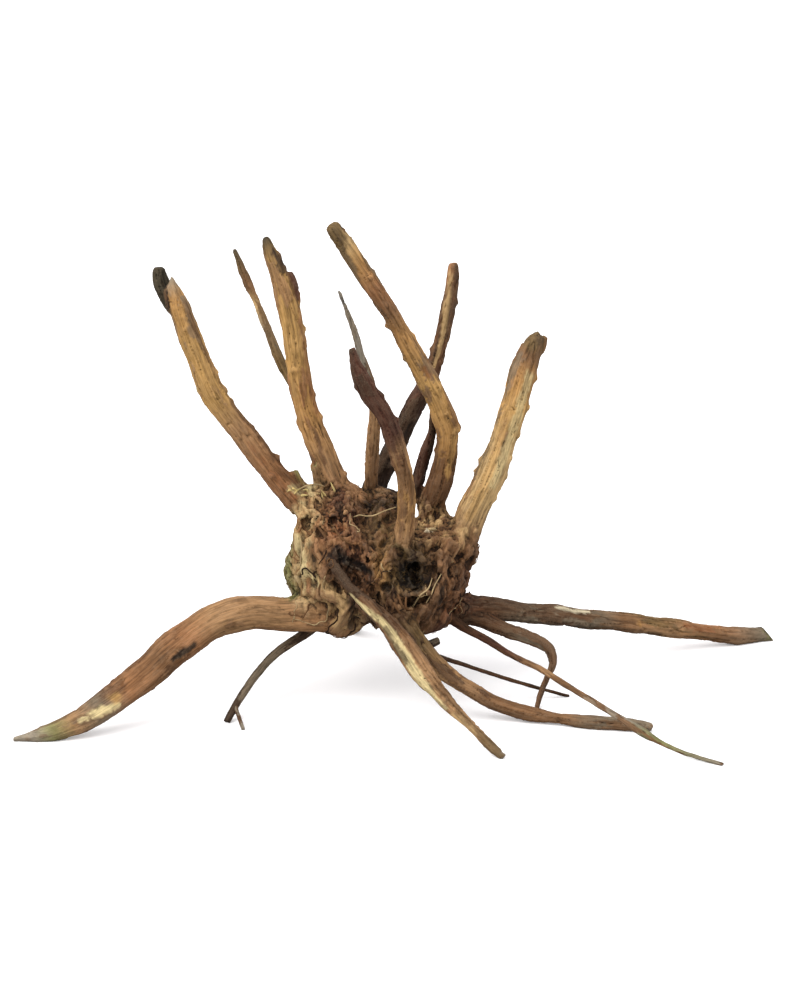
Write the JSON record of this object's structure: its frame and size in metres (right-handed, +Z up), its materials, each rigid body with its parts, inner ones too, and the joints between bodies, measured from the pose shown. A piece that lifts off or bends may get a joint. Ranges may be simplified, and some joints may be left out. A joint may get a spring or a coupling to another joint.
{
  "type": "driftwood trunk",
  "caption": "Gnarled driftwood root ball with cut branches rising from it and long roots spreading under it, standing on its root tips.",
  "frame": {"origin": "on the floor, under the middle of the trunk's box", "axes": "+X to the right along the two longest roots, +Y to the rear, +Z up along the branches"},
  "size_m": [0.5376, 0.2721, 0.34],
  "materials": {
    "weathered_wood": "dry weathered wood, matte, brown with tan, ochre and dark patches"
  },
  "bodies": {
    "root": {"driftwood_trunk": "weathered_wood"}
  },
  "joints": []
}
